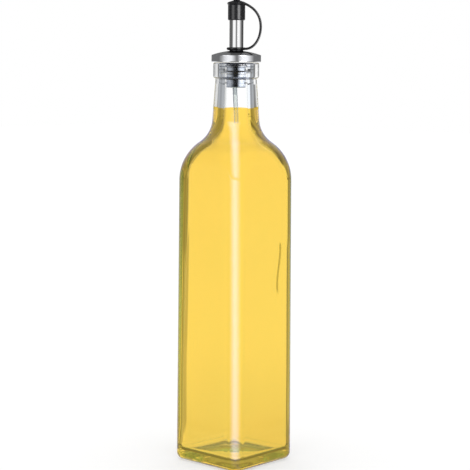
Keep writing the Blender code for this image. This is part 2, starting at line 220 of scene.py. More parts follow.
def ring_angles():
    """Directions round the axis, dense where the rounded square bends."""
    corner = FOOT_HALF - CORNER_RADIUS
    first = math.atan2(corner, FOOT_HALF)
    angles = []
    for quarter in range(4):
        turn = quarter * math.pi / 2.0
        for i in range(FACE_STEPS):
            angles.append(turn - first + 2.0 * first * i / FACE_STEPS)
        for i in range(CORNER_STEPS):
            bend = math.pi / 2.0 * i / CORNER_STEPS
            x = corner + CORNER_RADIUS * math.cos(bend)
            y = corner + CORNER_RADIUS * math.sin(bend)
            angles.append(turn + math.atan2(y, x))
    return angles


def rounded_square(half, radius, angle):
    """Distance from the axis to a square of this half width and corner radius."""
    folded = abs((angle + math.pi / 4.0) % (math.pi / 2.0) - math.pi / 4.0)
    cosine, sine = math.cos(folded), math.sin(folded)
    corner = half - radius
    if half * sine <= corner * cosine:
        return half / cosine
    reach = corner * (cosine + sine)
    return reach + math.sqrt(max(reach ** 2 - 2.0 * corner ** 2 + radius ** 2, 0.0))


def shoulder(height, half, arc_radius, neck, fillet, root):
    """Half width at a height where a side runs over a shoulder arc and a fillet into the neck."""
    middle = half - arc_radius
    run = neck + fillet - middle
    start = root - math.sqrt((arc_radius + fillet) ** 2 - run ** 2)
    touch = start + (root - start) * arc_radius / (arc_radius + fillet)
    if height <= start:
        return half
    if height <= touch:
        return middle + math.sqrt(arc_radius ** 2 - (height - start) ** 2)
    if height <= root:
        return neck + fillet - math.sqrt(fillet ** 2 - (root - height) ** 2)
    return neck


def corner_reach(half, radius):
    """Distance from the axis to the middle of a rounded corner."""
    return half * math.sqrt(2.0) - radius * (math.sqrt(2.0) - 1.0)


def section_from_reach(half, reach, height):
    """The section with this half width whose corners reach this far."""
    radius = (half * math.sqrt(2.0) - reach) / (math.sqrt(2.0) - 1.0)
    return (half, min(radius, half), height)


def outer_shoulder(height):
    """Outside of the glass from the body to the foot of the neck."""
    half = shoulder(height, SHOULDER_HALF, FACE_ARC, NECK_ROOT_RADIUS, NECK_FILLET, NECK_ROOT_HEIGHT)
    reach = shoulder(height, corner_reach(SHOULDER_HALF, CORNER_RADIUS), CORNER_ARC,
                     NECK_ROOT_RADIUS, NECK_FILLET, NECK_ROOT_HEIGHT)
    return section_from_reach(half, max(reach, half), height)


def inner_shoulder(height, inset=0.0):
    """Inside of the glass over the same stretch; a negative inset reaches into the glass."""
    side = SHOULDER_HALF - WALL
    half = shoulder(height, side, FACE_ARC - WALL, BORE_RADIUS, BORE_FILLET, BORE_ROOT_HEIGHT)
    reach = shoulder(height, corner_reach(side, CORNER_RADIUS - WALL), CORNER_ARC - WALL,
                     BORE_RADIUS, BORE_FILLET, BORE_ROOT_HEIGHT)
    half, radius, height = section_from_reach(half, max(reach, half), height)
    return (half - inset, max(radius - inset, 0.0), height)


def bore_radius(height):
    """Radius of the bore: straight in the lip, then widening down to its foot."""
    share = share_between(height, BORE_ROOT_HEIGHT, LIP_BORE_BOTTOM)
    return BORE_RADIUS + (LIP_BORE_RADIUS - BORE_RADIUS) * share


def outer_sections():
    """Outside of the glass from the middle of the underside up to the lip and into the bore."""
    foot = FOOT_HALF - HEEL_RADIUS
    hollow = foot - FOOT_FLAT
    sections = [(0.0, 0.0, PUSH_UP)]
    for i in range(1, FLOOR_RINGS):
        share = i / FLOOR_RINGS
        half = hollow * share
        radius = half * (1.0 - MIDDLE_ROUNDNESS * share)
        sections.append((half, radius, PUSH_UP * math.cos(share * math.pi / 2.0)))
    sections.append((hollow, CORNER_RADIUS - HEEL_RADIUS, 0.0))
    for x, z in arc((foot, HEEL_RADIUS), HEEL_RADIUS, -90.0, 0.0, HEEL_STEPS):
        sections.append((x, CORNER_RADIUS - HEEL_RADIUS + x - foot, z))
    rings = heights(HEEL_RADIUS, SHOULDER_HEIGHT, BODY_RINGS // 3)[1:-1]
    for height in rings:
        share = (height - HEEL_RADIUS) / (SHOULDER_HEIGHT - HEEL_RADIUS)
        sections.append((FOOT_HALF + (SHOULDER_HALF - FOOT_HALF) * share, CORNER_RADIUS, height))
    neck_foot = NECK_ROOT_HEIGHT - NECK_FILLET * math.sin(NECK_LEAN)
    for height in heights(SHOULDER_HEIGHT, neck_foot, SHOULDER_STEPS):
        sections.append(outer_shoulder(height))
    foot_radius = NECK_ROOT_RADIUS + NECK_FILLET * (1.0 - math.cos(NECK_LEAN))
    neck_top = BEAD_BOTTOM - NECK_ROUNDING
    outline = []
    for i in range(1, NECK_STEPS + 1):
        share = i / NECK_STEPS
        outline.append((foot_radius + (NECK_TOP_RADIUS - foot_radius) * share,
                        neck_foot + (neck_top - neck_foot) * share))
    outline += arc((NECK_TOP_RADIUS + NECK_ROUNDING, neck_top), NECK_ROUNDING, 180.0, 90.0, 5)[1:]
    bead = BEAD_RADIUS - BEAD_ROUNDING
    lip = GLASS_HEIGHT - BEAD_ROUNDING
    outline += arc((bead, BEAD_BOTTOM + BEAD_ROUNDING), BEAD_ROUNDING, -90.0, 0.0, ROUND_STEPS)
    outline += arc((bead, lip), BEAD_ROUNDING, 0.0, 90.0, ROUND_STEPS)
    outline += arc((LIP_BORE_RADIUS + BEAD_ROUNDING, lip), BEAD_ROUNDING, 90.0, 180.0, ROUND_STEPS)
    outline += [(bore_radius(z), z) for z in heights(lip, BORE_ROOT_HEIGHT, BORE_STEPS)[1:-1]]
    sections += [(x, x, z) for x, z in outline]
    return sections


def inner_sections(inset=0.0, top=BORE_ROOT_HEIGHT):
    """Inside of the glass from this height down to the middle of the floor."""
    side = FOOT_HALF - WALL
    side_radius = CORNER_RADIUS - WALL
    sections = [inner_shoulder(z, inset) for z in heights(top, SHOULDER_HEIGHT, SHOULDER_STEPS)]
    floor = FLOOR_EDGE
    for height in heights(SHOULDER_HEIGHT, floor + INNER_HEEL_RADIUS, BODY_RINGS)[1:-1]:
        share = (height - floor) / (SHOULDER_HEIGHT - floor)
        half = side + (SHOULDER_HALF - FOOT_HALF) * share
        sections.append((half - inset, side_radius - inset, height))
    heel = INNER_HEEL_RADIUS
    for x, z in arc((side - heel, floor + heel), heel, 0.0, -90.0, HEEL_STEPS):
        radius = max(side_radius + x - side - inset, LEAST_CORNER)
        lower = inset * (floor + heel - z) / heel
        sections.append((x - inset, radius, z + lower))
    flat = side - heel - inset
    rise = FLOOR_MIDDLE - FLOOR_EDGE
    for i in range(FLOOR_RINGS - 1, 0, -1):
        share = i / FLOOR_RINGS
        half = flat * share
        height = floor + inset + rise * (0.5 + 0.5 * math.cos(share * math.pi))
        sections.append((half, half * (1.0 - MIDDLE_ROUNDNESS * share), height))
    sections.append((0.0, 0.0, floor + inset + rise))
    return sections


def wave(point):
    """Slow unevenness of moulded glass, from -1 to 1, drawn out along the height."""
    return noise.noise(Vector((point.x / WAVE_ACROSS, point.y / WAVE_ACROSS, point.z / WAVE_ALONG)))


def share_between(height, low, high):
    """How far a height has come from low to high, from 0 to 1."""
    return min(max((height - low) / (high - low), 0.0), 1.0)


def corner_push(angle, height):
    """How far the inside stands in at the corner where the glass set thickest, more so higher up."""
    away = (angle - THICK_CORNER + math.pi) % (2.0 * math.pi) - math.pi
    across = max(1.0 - (away / THICK_CORNER_WIDTH) ** 2, 0.0) ** 2
    ends = min(share_between(height, *THICK_CORNER_FOOT), 1.0 - share_between(height, *THICK_CORNER_HEAD))
    swell = share_between(height, *THICK_CORNER_SWELL)
    return THICK_CORNER_PUSH * across * ends * (THICK_CORNER_LEAST + (1.0 - THICK_CORNER_LEAST) * swell)


def add_mesh(name, builder):
    """Finish a bmesh as a smooth object in the scene."""
    bmesh.ops.recalc_face_normals(builder, faces=builder.faces)
    mesh = bpy.data.meshes.new(name)
    builder.to_mesh(mesh)
    builder.free()
    mesh.shade_smooth()
    piece = bpy.data.objects.new(name, mesh)
    bpy.context.scene.collection.objects.link(piece)
    return piece


def loft(name, sections, waved_from=None):
    """Skin the sections; from this section on, the wall waves a little in and out."""
    angles = ring_angles()
    builder = bmesh.new()
    rings = []
    for index, (half, radius, height) in enumerate(sections[1:-1]):
        ring = []
        for angle in angles:
            distance = rounded_square(half, min(radius, half), angle)
            point = Vector((distance * math.cos(angle), distance * math.sin(angle), height))
            if waved_from is not None and index >= waved_from:
                push = WALL_WAVE * wave(point) - corner_push(angle, height)
                point.x += push * math.cos(angle)
                point.y += push * math.sin(angle)
            ring.append(builder.verts.new(point))
        rings.append(ring)
    count = len(angles)
    for lower, upper in zip(rings, rings[1:]):
        for i in range(count):
            j = (i + 1) % count
            builder.faces.new((lower[i], lower[j], upper[j], upper[i]))
    for ring, section in ((rings[0], sections[0]), (rings[-1], sections[-1])):
        pole = builder.verts.new((0.0, 0.0, section[2]))
        for i in range(count):
            builder.faces.new((ring[i], ring[(i + 1) % count], pole))
    return add_mesh(name, builder)


def turned(name, outline, closed=True, steps=TURN_STEPS):
    """Turn an outline of (radius, height) points round Z."""
    builder = bmesh.new()
    rings = []
    for radius, height in outline:
        if radius < 1e-7:
            rings.append([builder.verts.new((0.0, 0.0, height))])
            continue
        rings.append([builder.verts.new((radius * math.cos(2.0 * math.pi * i / steps),
                                         radius * math.sin(2.0 * math.pi * i / steps), height))
                      for i in range(steps)])
    pairs = list(zip(rings, rings[1:]))
    if closed:
        pairs.append((rings[-1], rings[0]))
    for one, two in pairs:
        for i in range(steps):
            j = (i + 1) % steps
            corners = [one[i % len(one)], one[j % len(one)], two[j % len(two)], two[i % len(two)]]
            corners = [v for k, v in enumerate(corners) if v not in corners[:k]]
            if len(corners) > 2:
                builder.faces.new(corners)
    return add_mesh(name, builder)


def sharpen(piece, degrees=40.0):
    """Keep the crisp edges of a smooth-shaded piece crisp."""
    piece.data.set_sharp_from_angle(angle=math.radians(degrees))
    return piece


def dress(piece, node, material):
    """Give a piece its material and its place in the frame."""
    piece.data.materials.clear()
    piece.data.materials.append(material)
    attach(piece, "root")
    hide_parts(node)
    return piece


def principled(name):
    """A new material with its node tree and shader."""
    material = bpy.data.materials.new(name)
    material.use_nodes = True
    tree = material.node_tree
    return material, tree, tree.nodes["Principled BSDF"]


def object_noise(tree, scale, stretch=(1.0, 1.0, 1.0), detail=3.0):
    """Noise in the piece's own coordinates, in features a metre."""
    place = tree.nodes.new("ShaderNodeTexCoord")
    mapping = tree.nodes.new("ShaderNodeMapping")
    mapping.inputs["Scale"].default_value = stretch
    texture = tree.nodes.new("ShaderNodeTexNoise")
    texture.inputs["Scale"].default_value = scale
    texture.inputs["Detail"].default_value = detail
    tree.links.new(place.outputs["Object"], mapping.inputs["Vector"])
    tree.links.new(mapping.outputs["Vector"], texture.inputs["Vector"])
    return texture.outputs["Fac"]


def ramp(tree, factor, low, high, low_colour, high_colour):
    """A two-colour ramp over part of a factor's range."""
    node = tree.nodes.new("ShaderNodeValToRGB")
    node.color_ramp.elements[0].position = low
    node.color_ramp.elements[1].position = high
    node.color_ramp.elements[0].color = (*low_colour, 1.0)
    node.color_ramp.elements[1].color = (*high_colour, 1.0)
    tree.links.new(factor, node.inputs["Fac"])
    return node.outputs["Color"]


def bump(tree, shader, height, strength, distance):
    """Fine relief from a height socket."""
    node = tree.nodes.new("ShaderNodeBump")
    node.inputs["Strength"].default_value = strength
    node.inputs["Distance"].default_value = distance
    tree.links.new(height, node.inputs["Height"])
    tree.links.new(node.outputs["Normal"], shader.inputs["Normal"])


def maths(tree, operation, *values):
    """One math node; numbers and sockets may be mixed."""
    node = tree.nodes.new("ShaderNodeMath")
    node.operation = operation
    for socket, value in zip(node.inputs, values):
        if isinstance(value, (int, float)):
            socket.default_value = value
        else:
            tree.links.new(value, socket)
    return node.outputs["Value"]


def stepped(tree, value, low, high, low_out, high_out):
    """A soft step from one brightness to another."""
    node = tree.nodes.new("ShaderNodeMapRange")
    node.interpolation_type = "SMOOTHSTEP"
    node.inputs["From Min"].default_value = low
    node.inputs["From Max"].default_value = high
    node.inputs["To Min"].default_value = low_out
    node.inputs["To Max"].default_value = high_out
    tree.links.new(value, node.inputs["Value"])
    return node.outputs["Result"]


def between(tree, value, rise, fall):
    """One between two soft steps, each given by its start and end, and nought outside them."""
    return maths(tree, "MULTIPLY", stepped(tree, value, *rise, 0.0, 1.0),
                 stepped(tree, value, *fall, 1.0, 0.0))


def mixed(tree, factor, one, two):
    """Blend two brightnesses."""
    node = tree.nodes.new("ShaderNodeMix")
    for name, value in (("Factor", factor), ("A", one), ("B", two)):
        socket = node.inputs[name]
        if isinstance(value, (int, float)):
            socket.default_value = value
        else:
            tree.links.new(value, socket)
    return node.outputs["Result"]


def mixed_colours(tree, factor, one, two):
    """Blend two colours, each a socket or three numbers."""
    node = tree.nodes.new("ShaderNodeMix")
    node.data_type = "RGBA"
    tree.links.new(factor, node.inputs["Factor"])
    for socket, value in ((node.inputs["A"], one), (node.inputs["B"], two)):
        if isinstance(value, tuple):
            socket.default_value = (*value, 1.0)
        else:
            tree.links.new(value, socket)
    return node.outputs["Result"]


def times(tree, one, two):
    """Multiply two colours, or a brightness and a colour."""
    node = tree.nodes.new("ShaderNodeVectorMath")
    node.operation = "MULTIPLY"
    tree.links.new(one, node.inputs[0])
    tree.links.new(two, node.inputs[1])
    return node.outputs["Vector"]


def seam_mark(tree, split):
    """One on the short wavy seam in the right-hand face, nought elsewhere."""
    x, y, height = (split.outputs[k] for k in "XYZ")
    turn = maths(tree, "DIVIDE", maths(tree, "SUBTRACT", height, SEAM_TURN), SEAM_WAVE / math.tau)
    swing = maths(tree, "COSINE", turn)
    line = maths(tree, "ADD", maths(tree, "MULTIPLY", swing, SEAM_SWING), SEAM_MIDDLE)
    off_line = maths(tree, "ABSOLUTE", maths(tree, "SUBTRACT", y, line))
    mark = stepped(tree, off_line, SEAM_HALF, SEAM_HALF + SEAM_EDGE, 1.0, 0.0)
    mark = maths(tree, "MULTIPLY", mark, maths(tree, "GREATER_THAN", x, FOOT_HALF - WALL / 2.0))
    along = between(tree, height, (SEAM_LOW, SEAM_LOW + SEAM_FADE_LOW),
                    (SEAM_HIGH - SEAM_FADE_HIGH, SEAM_HIGH))
    return maths(tree, "MULTIPLY", mark, along)


def wall_tint_and_shade(tree, height, path, backfacing):
    """Tint of the light that leaves the wall: olive where the wall guided it, with painted shade by height, a
    painted grey shade in the neck and painted shade at the bead's top and foot.
    """
    # Painted shade: the guided light is made darker or lighter by height
    guided_tint_and_shade = by_share(tree, maths(tree, "DIVIDE", height, GLASS_HEIGHT), GUIDED)
    guided_tint_and_shade = maths(tree, "MULTIPLY", guided_tint_and_shade, guided_tint_and_shade)
    olive = mixed_colours(tree, stepped(tree, height, *FOOT_END, 0.0, 1.0), GUIDED_AT_FOOT, GUIDED_COLOUR)
    olive = mixed_colours(tree, stepped(tree, height, *BODY_END, 0.0, 1.0), olive, WHITE)
    in_neck = stepped(tree, height, *NECK_START, 0.0, 1.0)
    bounces = mixed(tree, in_neck, MANY_BOUNCES, MANY_BOUNCES_IN_NECK)
    guided = maths(tree, "GREATER_THAN", path.outputs["Ray Depth"], bounces)
    guided = maths(tree, "MULTIPLY", guided, backfacing)
    guided_tint_and_shade = mixed_colours(tree, in_neck, times(tree, guided_tint_and_shade, olive), NECK_GUIDED_SHADE)
    tint = mixed_colours(tree, guided, WHITE, guided_tint_and_shade)
    # Painted shade on the bead's top and foot
    edges = maths(tree, "MAXIMUM", stepped(tree, height, *BEAD_HEAD, 0.0, 1.0),
                  between(tree, height, *BEAD_FOOT))
    return mixed_colours(tree, edges, tint, BEAD_EDGE_SHADE)


def glass_material():
    """Clear bottle glass with a faint cool tint and the soft ripple of a mould; its colour also carries
    painted shade in the light its wall guides and at the bead's top and foot.
    """
    material, tree, shader = principled("bottle_glass")
    shader.inputs["Transmission Weight"].default_value = 1.0
    shader.inputs["IOR"].default_value = 1.5
    place = tree.nodes.new("ShaderNodeTexCoord")
    split = tree.nodes.new("ShaderNodeSeparateXYZ")
    tree.links.new(place.outputs["Object"], split.inputs["Vector"])
    height = split.outputs["Z"]
    tree.links.new(stepped(tree, height, *FROSTED_FROM, 0.0, 0.02), shader.inputs["Roughness"])
    tint = ramp(tree, object_noise(tree, 30.0), 0.3, 0.7, (0.985, 0.995, 0.99), WHITE)
    path = tree.nodes.new("ShaderNodeLightPath")
    backfacing = tree.nodes.new("ShaderNodeNewGeometry").outputs["Backfacing"]
    beside_oil = between(tree, path.outputs["Transmission Depth"], (0.5, 0.7), (1.3, 1.5))
    beside_oil = maths(tree, "MULTIPLY", beside_oil, backfacing)
    beside_oil = maths(tree, "MULTIPLY", beside_oil, stepped(tree, height, *OIL_END, 1.0, 0.0))
    tint = mixed_colours(tree, beside_oil, tint, tuple(c * c for c in OIL_IN_WALL))
    tint = mixed_colours(tree, seam_mark(tree, split), tint, SEAM_COLOUR)
    # The wall's tint brings painted shade by height and at the bead's top and foot
    tint = times(tree, tint, wall_tint_and_shade(tree, height, path, backfacing))
    tree.links.new(tint, shader.inputs["Base Color"])
    ripple = maths(tree, "MULTIPLY", object_noise(tree, 60.0, (1.0, 1.0, 0.4), 1.0), 0.02)
    turn = stepped(tree, height, *FLARE, 0.0, 1.25)
    bump(tree, shader, maths(tree, "ADD", ripple, turn), 1.0, 1.0 * MM)
    return material


def oil_material():
    """Golden oil: clear, evenly tinted, hardly bending the view through the bottle."""
    material, tree, shader = principled("golden_oil")
    shader.inputs["Transmission Weight"].default_value = 1.0
    shader.inputs["Roughness"].default_value = 0.0
    shader.inputs["IOR"].default_value = 1.001
    tint = ramp(tree, object_noise(tree, 14.0, (1.0, 1.0, 0.5), 1.0), 0.3, 0.7,
                (1.0, 0.655, 0.094), (1.0, 0.685, 0.104))
    path = tree.nodes.new("ShaderNodeLightPath")
    turned_back = stepped(tree, path.outputs["Glossy Depth"], 0.25, 0.75, 0.0, 1.0)
    crossed_twice = stepped(tree, path.outputs["Transmission Depth"], 2.4, 2.6, 0.0, 1.0)
    in_wall = mixed_colours(tree, crossed_twice, OIL_IN_WALL, WHITE)
    tree.links.new(mixed_colours(tree, turned_back, tint, in_wall), shader.inputs["Base Color"])
    return material


def clear_plastic_material():
    """Thin clear plastic of the breather tube, with painted shade darkening it towards its edges."""
    material, tree, shader = principled("tube_plastic")
    shader.inputs["Transmission Weight"].default_value = 1.0
    shader.inputs["Roughness"].default_value = 0.03
    shader.inputs["IOR"].default_value = 1.46
    tint = ramp(tree, object_noise(tree, 400.0, (1.0, 1.0, 0.1)), 0.3, 0.7,
                (0.80, 0.83, 0.82), (0.92, 0.94, 0.93))
    weight = tree.nodes.new("ShaderNodeLayerWeight")
    weight.inputs["Blend"].default_value = 0.5
    # Painted shade: darker where the tube's surface turns away from the view
    edge_shade = stepped(tree, weight.outputs["Facing"], 0.25, 0.6, 0.0, 1.0)
    tree.links.new(mixed_colours(tree, edge_shade, tint, TUBE_EDGE_SHADE), shader.inputs["Base Color"])
    return material


def shade_between(tree, colour, bands):
    """Darken a colour between pairs of heights."""
    place = tree.nodes.new("ShaderNodeTexCoord")
    split = tree.nodes.new("ShaderNodeSeparateXYZ")
    tree.links.new(place.outputs["Object"], split.inputs["Vector"])
    for low, high, share in bands:
        inside = between(tree, split.outputs["Z"], (low - SHADE_EDGE, low), (high, high + SHADE_EDGE))
        colour = mixed_colours(tree, inside, colour, (share, share, share * 1.1))
    return colour


def steel_material(name, colour, roughness, grain, shaded=(), relief=0.15):
    """Polished steel with fine lines left by turning; it is dark between the shaded heights."""
    material, tree, shader = principled(name)
    shader.inputs["Metallic"].default_value = 1.0
    lines = object_noise(tree, 900.0, grain, 2.0)
    tint = ramp(tree, lines, 0.25, 0.75, tuple(c * 0.94 for c in colour), colour)
    if shaded:
        tint = shade_between(tree, tint, shaded)
    tree.links.new(tint, shader.inputs["Base Color"])
    spread = tree.nodes.new("ShaderNodeMapRange")
    spread.inputs["To Min"].default_value = roughness * 0.7
    spread.inputs["To Max"].default_value = roughness * 1.3
    tree.links.new(lines, spread.inputs["Value"])
    tree.links.new(spread.outputs["Result"], shader.inputs["Roughness"])
    bump(tree, shader, lines, relief, 0.01 * MM)
    return material


def rubber_material():
    """Smooth black rubber, a little uneven in its shine."""
    material, tree, shader = principled("cap_rubber")
    mottle = object_noise(tree, 700.0)
    tint = ramp(tree, mottle, 0.3, 0.7, (0.006, 0.006, 0.007), (0.012, 0.012, 0.014))
    tree.links.new(tint, shader.inputs["Base Color"])
    spread = tree.nodes.new("ShaderNodeMapRange")
    spread.inputs["To Min"].default_value = 0.17
    spread.inputs["To Max"].default_value = 0.24
    tree.links.new(mottle, spread.inputs["Value"])
    tree.links.new(spread.outputs["Result"], shader.inputs["Roughness"])
    bump(tree, shader, object_noise(tree, 2500.0), 0.2, 0.02 * MM)
    return material


def build_bottle():
    """The glass, smooth and slightly uneven inside."""
    outside = outer_sections()
    piece = loft("bottle_glass", outside + inner_sections(), waved_from=len(outside))
    return dress(piece, "bottle", glass_material())


def build_oil():
    """The oil, out into the wall so that no gap shows, with a flat top."""
    reach = bore_radius(OIL_LEVEL) + OIL_INTO_WALL
    top = [(0.0, 0.0, OIL_LEVEL), (reach * 0.5, reach * 0.5, OIL_LEVEL), (reach, reach, OIL_LEVEL)]
    piece = sharpen(loft("oil_body", top + inner_sections(-OIL_INTO_WALL)))
    return dress(piece, "oil", oil_material())


def build_vent_tube():
    """The thin breather tube that leans into the oil."""
    length = (TUBE_TOP - TUBE_END).length
    outline = [(TUBE_BORE, length), (TUBE_RADIUS, length), (TUBE_RADIUS, 0.0), (TUBE_BORE, 0.0)]
    piece = sharpen(turned("breather_tube", outline, steps=48))
    lean = Vector((0.0, 0.0, 1.0)).rotation_difference((TUBE_TOP - TUBE_END).normalized())
    piece.data.transform(lean.to_matrix().to_4x4())
    piece.location = TUBE_END
    return dress(piece, "vent_tube", clear_plastic_material())


def build_stopper():
    """The finned plug and its lower stem."""
    outline = [(POUR_BORE, GLASS_HEIGHT), (CORE_RADIUS, GLASS_HEIGHT)]
    for fin in FIN_HEIGHTS:
        outline.append((CORE_RADIUS, fin + FIN_FLARE))
        outline.append((FIN_RADIUS - FIN_EDGE, fin + FIN_THICKNESS))
        outline.append((FIN_RADIUS, fin + FIN_THICKNESS - FIN_EDGE))
        outline.append((FIN_RADIUS, fin + FIN_EDGE))
        outline.append((FIN_RADIUS - FIN_EDGE, fin))
        outline.append((CORE_RADIUS, fin))
    rounding = CORE_BOTTOM + CORE_ROUNDING
    outline.append((CORE_RADIUS, rounding + EDGE_LOOP))
    outline += arc((CORE_RADIUS - CORE_ROUNDING, rounding), CORE_ROUNDING, 0.0, -90.0, 6)
    outline.append((POUR_BORE, CORE_BOTTOM))
    piece = sharpen(turned("finned_stopper", outline))
    material = steel_material("silver_plug", (0.74, 0.77, 0.84), 0.08, (0.2, 0.2, 1.0), FIN_SHADES, 0.03)
    return dress(piece, "stopper", material)


def build_collar():
    """The domed disc over the lip."""
    hole = SPOUT_RADIUS + FIT_GAP
    rise = COLLAR_APEX - COLLAR_EDGE_TOP
    dome_edge = COLLAR_RADIUS - COLLAR_ROUNDING
    dome_radius = (dome_edge ** 2 + rise ** 2) / (2.0 * rise)
    outline = []
    for i in range(DOME_STEPS + 1):
        x = hole + (dome_edge - DOME_INSET - hole) * i / DOME_STEPS
        outline.append((x, COLLAR_APEX - dome_radius + math.sqrt(dome_radius ** 2 - x ** 2)))
    outline += arc((dome_edge, COLLAR_EDGE_TOP - COLLAR_ROUNDING), COLLAR_ROUNDING, 80.0, 0.0, ROUND_STEPS)
    outline.append((COLLAR_RADIUS, COLLAR_EDGE_TOP - COLLAR_ROUNDING - EDGE_LOOP))
    outline.append((COLLAR_RADIUS, COLLAR_BOTTOM + COLLAR_ROUNDING + EDGE_LOOP))
    outline += arc((dome_edge, COLLAR_BOTTOM + COLLAR_ROUNDING), COLLAR_ROUNDING, 0.0, -90.0, ROUND_STEPS)
    outline.append((hole, COLLAR_BOTTOM))
    piece = sharpen(turned("domed_collar", outline, steps=192))
    material = steel_material("collar_steel", (0.80, 0.81, 0.84), 0.05, (0.15, 0.15, 1.0))
    return dress(piece, "collar", material)


def build_spout():
    """The steel tube."""
    lip = (SPOUT_RADIUS - POUR_BORE) / 2.0
    outline = [(POUR_BORE, SPOUT_TOP - lip - EDGE_LOOP)]
    outline += arc((POUR_BORE + lip, SPOUT_TOP - lip), lip, 180.0, 0.0, ROUND_STEPS)
    outline += [(SPOUT_RADIUS, SPOUT_TOP - lip - EDGE_LOOP), (SPOUT_RADIUS, COLLAR_BOTTOM)]
    outline.append((POUR_BORE, COLLAR_BOTTOM))
    piece = sharpen(turned("spout_tube", outline))
    material = steel_material("spout_steel", (0.82, 0.82, 0.83), 0.05, (1.0, 1.0, 0.05), SPOUT_SHADE)
    return dress(piece, "spout", material)


def bezier(start, pull_start, pull_end, end, steps):
    """Points on a cubic curve, without its last one."""
    points = []
    for i in range(steps):
        t = i / steps
        u = 1.0 - t
        weights = (u ** 3, 3.0 * u * u * t, 3.0 * u * t * t, t ** 3)
        corners = (start, pull_start, pull_end, end)
        points.append(tuple(sum(w * c[k] for w, c in zip(weights, corners)) for k in range(2)))
    return points


def strap_line():
    """Middle line of the strap, from under the cap's rim to the ring, as (reach, height)."""
    rim = (CAP_RADIUS - 0.6 * MM, RIM_HEIGHT + 0.1 * MM)
    side = (STRAP_REACH, STRAP_MIDDLE)
    ring = (SPOUT_RADIUS + 1.1 * MM, (RING_BOTTOM + RING_TOP) / 2.0)
    upper = bezier(rim, (rim[0] + 6.6 * MM, rim[1] - 2.6 * MM), (side[0], side[1] + 7.5 * MM), side,
                   STRAP_STEPS)
    lower = bezier(side, (side[0], side[1] - 7.6 * MM), (ring[0] + 6.0 * MM, ring[1]), ring, STRAP_STEPS)
    return upper + lower + [ring]


def build_strap():
    """The strap's skin: a rounded flat section swept along its line."""
    line = strap_line()
    builder = bmesh.new()
    rings = []
    for i, (reach, height) in enumerate(line):
        before, after = line[max(i - 1, 0)], line[min(i + 1, len(line) - 1)]
        along = Vector((after[0] - before[0], 0.0, after[1] - before[1])).normalized()
        out = Vector((along.z, 0.0, -along.x))
        ring = []
        for k in range(STRAP_SIDES):
            angle = 2.0 * math.pi * (k + 0.5) / STRAP_SIDES
            across = math.copysign(abs(math.cos(angle)) ** 0.5, math.cos(angle)) * STRAP_WIDTH / 2.0
            depth = math.copysign(abs(math.sin(angle)) ** 0.5, math.sin(angle)) * STRAP_THICKNESS / 2.0
            point = Vector((reach, 0.0, height)) + out * depth + Vector((0.0, across, 0.0))
            ring.append(builder.verts.new(point))
        rings.append(ring)
    for one, two in zip(rings, rings[1:]):
        for k in range(STRAP_SIDES):
            j = (k + 1) % STRAP_SIDES
            builder.faces.new((one[k], one[j], two[j], two[k]))
    for ring in (rings[0], rings[-1]):
        builder.faces.new(ring)
    piece = add_mesh("strap", builder)
    piece.rotation_euler = (0.0, 0.0, STRAP_ANGLE)
    return piece


def join_by_union(piece, helper):
    """Fuse a helper into a piece and drop the helper."""
    union = piece.modifiers.new("join", "BOOLEAN")
    union.operation = "UNION"
    union.solver = "EXACT"
    union.object = helper
    bpy.context.view_layer.update()
    evaluated = piece.evaluated_get(bpy.context.evaluated_depsgraph_get())
    fused = bpy.data.meshes.new_from_object(evaluated)
    piece.modifiers.remove(union)
    piece.data = fused
    bpy.data.objects.remove(helper, do_unlink=True)


def build_dust_cap():
    """Cap, knob, strap and ring in one moulding."""
    cavity = SPOUT_RADIUS + FIT_GAP
    crown = RIM_HEIGHT + 0.4 * MM
    outline = [(0.0, KNOB_TOP)]
    outline += arc((KNOB_RADIUS - 1.2 * MM, KNOB_TOP - 1.2 * MM), 1.2 * MM, 88.0, 0.0, 10)
    outline += [(KNOB_RADIUS * 0.9, CAP_TOP + 1.4 * MM), (KNOB_RADIUS * 0.92, CAP_TOP + 0.6 * MM)]
    outline += arc((KNOB_RADIUS * 0.92 + 0.6 * MM, CAP_TOP + 0.6 * MM), 0.6 * MM, 180.0, 275.0, 5)
    outline += [(RIM_RADIUS * 0.8, crown + 0.7 * MM), (RIM_RADIUS * 0.93, crown + 0.3 * MM)]
    outline += arc((RIM_RADIUS - 0.3 * MM, crown - 0.3 * MM), 0.3 * MM, 60.0, -60.0, 6)
    outline += [(CAP_RADIUS + 0.1 * MM, RIM_HEIGHT - 0.9 * MM), (CAP_RADIUS, RIM_HEIGHT - 1.6 * MM)]
    outline += arc((CAP_RADIUS - 0.6 * MM, CAP_BOTTOM + 0.6 * MM), 0.6 * MM, 0.0, -90.0, 6)
    outline += [(cavity, CAP_BOTTOM), (cavity, SPOUT_TOP + FIT_GAP), (0.0, SPOUT_TOP + FIT_GAP)]
    piece = turned("rubber_cap", outline, closed=False, steps=96)
    hole = SPOUT_RADIUS + FIT_GAP
    middle = (RING_BOTTOM + RING_TOP) / 2.0
    half = (RING_TOP - RING_BOTTOM) / 2.0
    ring_outline = arc((RING_RADIUS - half, middle), half, 90.0, -90.0, 12)
    ring_outline += [(hole + 0.15 * MM, RING_BOTTOM), (hole, RING_BOTTOM + 0.15 * MM)]
    ring_outline += [(hole, RING_TOP - 0.15 * MM), (hole + 0.15 * MM, RING_TOP)]
    join_by_union(piece, build_strap())
    join_by_union(piece, turned("ring", ring_outline, steps=96))
    piece.data.shade_smooth()
    sharpen(piece, 35.0)
    return dress(piece, "dust_cap", rubber_material())


